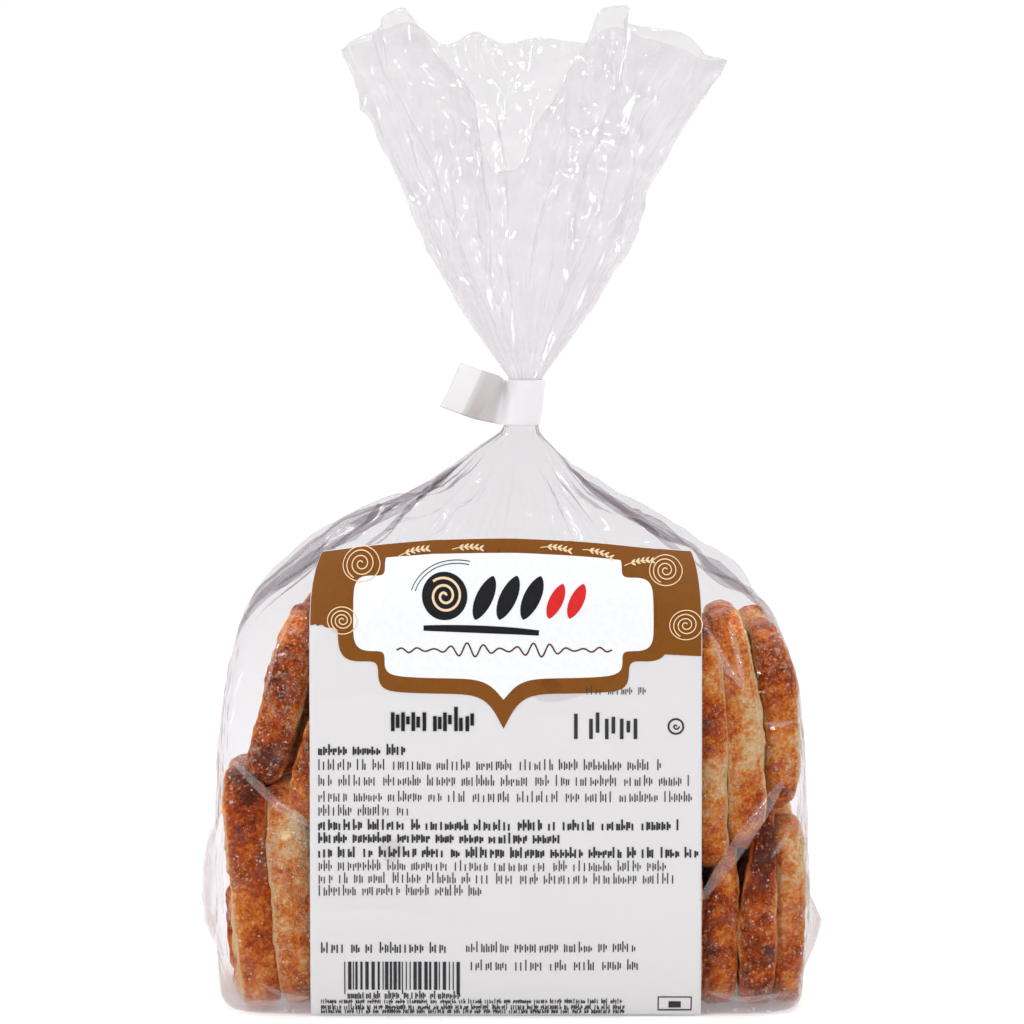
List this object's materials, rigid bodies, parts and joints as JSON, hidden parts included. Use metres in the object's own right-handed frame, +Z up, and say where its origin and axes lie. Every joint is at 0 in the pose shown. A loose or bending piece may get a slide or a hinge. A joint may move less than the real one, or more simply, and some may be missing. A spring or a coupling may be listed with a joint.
{
  "type": "bag of palmier pastries",
  "caption": "Clear film bag of palmier pastries standing on its base, with a paper label on the front, white tape round its gathered neck and a flared open top.",
  "frame": {"origin": "middle of the bag's flat base, on the surface it stands on", "axes": "+Z up to the flared top, -Y out of the labelled front, +X to the right of someone who looks at the label"},
  "size_m": [0.1644, 0.0712, 0.2655],
  "materials": {
    "pastry_in_film": "glossy",
    "label_paper": "satin",
    "white_tape": "satin"
  },
  "bodies": {
    "root": {"film_bag": "pastry_in_film", "label": "label_paper", "neck_tape": "white_tape"}
  },
  "joints": []
}
